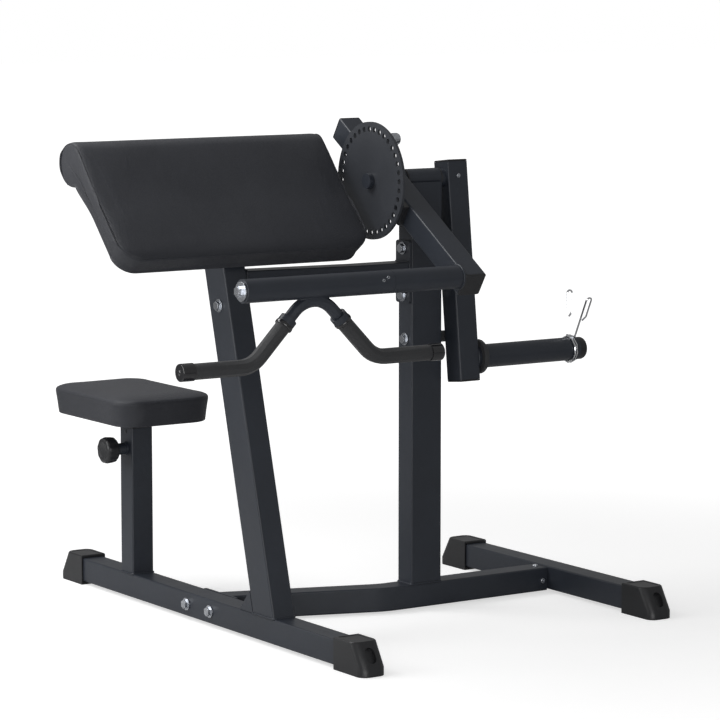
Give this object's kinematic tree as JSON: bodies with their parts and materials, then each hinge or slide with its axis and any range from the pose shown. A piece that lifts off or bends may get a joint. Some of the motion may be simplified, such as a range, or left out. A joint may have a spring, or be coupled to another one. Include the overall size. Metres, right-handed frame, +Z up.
{
  "type": "biceps triceps machine",
  "caption": "Plate loaded arm curl machine: padded seat, sloping arm pad, cranked curl bar on an indexed lever and a weight arm with a plate sleeve that swing on one shaft.",
  "frame": {"origin": "on the floor, under the middle of the machine's bounding box", "axes": "+Z is up; the user sits toward +Y and looks along -Y; the plate sleeve points to +X"},
  "size_m": [1.1404, 1.2056, 1.0259],
  "materials": {
    "black_powder_coat": "satin black powder coat",
    "charcoal_vinyl": "smooth satin charcoal vinyl",
    "black_plastic": "matte moulded black",
    "gloss_black_cap": "polished black",
    "black_rubber": "soft satin black",
    "zinc_plate": "bright zinc plate",
    "bright_chrome": "polished chrome",
    "plywood": "raw plywood",
    "bearing_plastic": "plain black"
  },
  "bodies": {
    "frame": {"front_rail": "black_powder_coat", "rear_rail": "black_powder_coat", "cross_beam": "black_powder_coat", "beam_flange": "black_powder_coat", "rear_stub": "black_powder_coat", "front_foot_near": "black_plastic", "front_foot_far": "black_plastic", "rear_foot_near": "black_plastic", "rear_foot_far": "black_plastic", "rail_bolt_1": "zinc_plate", "rail_bolt_2": "zinc_plate", "seat_post": "black_powder_coat", "seat_liner": "black_plastic", "seat_pin_boss": "black_powder_coat", "leaning_post": "black_powder_coat", "post_gusset": "black_powder_coat", "pad_plate": "black_powder_coat", "pad_board": "plywood", "pad_cushion": "charcoal_vinyl", "upper_beam": "black_powder_coat", "rear_flange": "black_powder_coat", "front_flange": "black_powder_coat", "rear_flange_bolt_1": "zinc_plate", "rear_flange_bolt_2": "zinc_plate", "front_flange_bolt_1": "zinc_plate", "front_flange_bolt_2": "zinc_plate", "rear_post": "black_powder_coat", "stop_bolt": "zinc_plate", "stop_bumper": "black_rubber", "bearing_housing": "black_powder_coat", "near_bush": "bearing_plastic", "far_bush": "bearing_plastic"},
    "seat": {"seat_cushion": "charcoal_vinyl", "seat_board": "plywood", "seat_plate": "black_powder_coat", "seat_stem": "zinc_plate"},
    "seat_pin": {"seat_pin": "black_plastic"},
    "swing": {"pivot_shaft": "black_powder_coat", "index_disc": "black_powder_coat", "weight_arm": "black_powder_coat", "arm_plug_top": "black_plastic", "arm_plug_bottom": "black_plastic", "plate_sleeve": "black_powder_coat", "sleeve_ring": "black_rubber", "sleeve_cap": "black_plastic"},
    "spring_clip": {"spring_clip": "bright_chrome"},
    "lever": {"lever_tube": "black_powder_coat", "lever_plug_top": "black_plastic", "lever_plug_bottom": "black_plastic", "pin_barrel": "black_powder_coat", "disc_guide": "black_plastic", "handle_axle": "black_powder_coat", "axle_bolt": "zinc_plate"},
    "index_pin": {"index_pin": "zinc_plate"},
    "handle": {"handle_sleeve": "black_powder_coat", "curl_bar": "black_powder_coat", "left_grip": "black_rubber", "right_grip": "black_rubber", "left_bar_cap": "gloss_black_cap", "right_bar_cap": "gloss_black_cap"}
  },
  "joints": [
    {"name": "arm_swing", "type": "hinge", "parent": "frame", "child": "swing", "pos_m": [0.14058, -0.09835, 0.904], "axis": [-1, 0, 0], "range_deg": [0, 75]},
    {"name": "lever_index", "type": "hinge", "parent": "swing", "child": "lever", "pos_m": [0.14058, -0.09835, 0.904], "axis": [-1, 0, 0], "range_deg": [-20, 10]},
    {"name": "handle_turn", "type": "hinge", "parent": "lever", "child": "handle", "pos_m": [0.07218, -0.38492, 0.72845], "axis": [-1, 0, 0], "continuous": true},
    {"name": "index_pin_push", "type": "slide", "parent": "lever", "child": "index_pin", "axis": [-1, 0, 0], "range_m": [0, 0.014]},
    {"name": "clip_slide", "type": "slide", "parent": "swing", "child": "spring_clip", "axis": [1, 0, 0], "range_m": [-0.19, 0.045]},
    {"name": "seat_height", "type": "slide", "parent": "frame", "child": "seat", "axis": [0, 0, 1], "range_m": [0, 0.12]},
    {"name": "seat_pin_push", "type": "slide", "parent": "frame", "child": "seat_pin", "axis": [1, 0, 0], "range_m": [0, 0.01]}
  ]
}
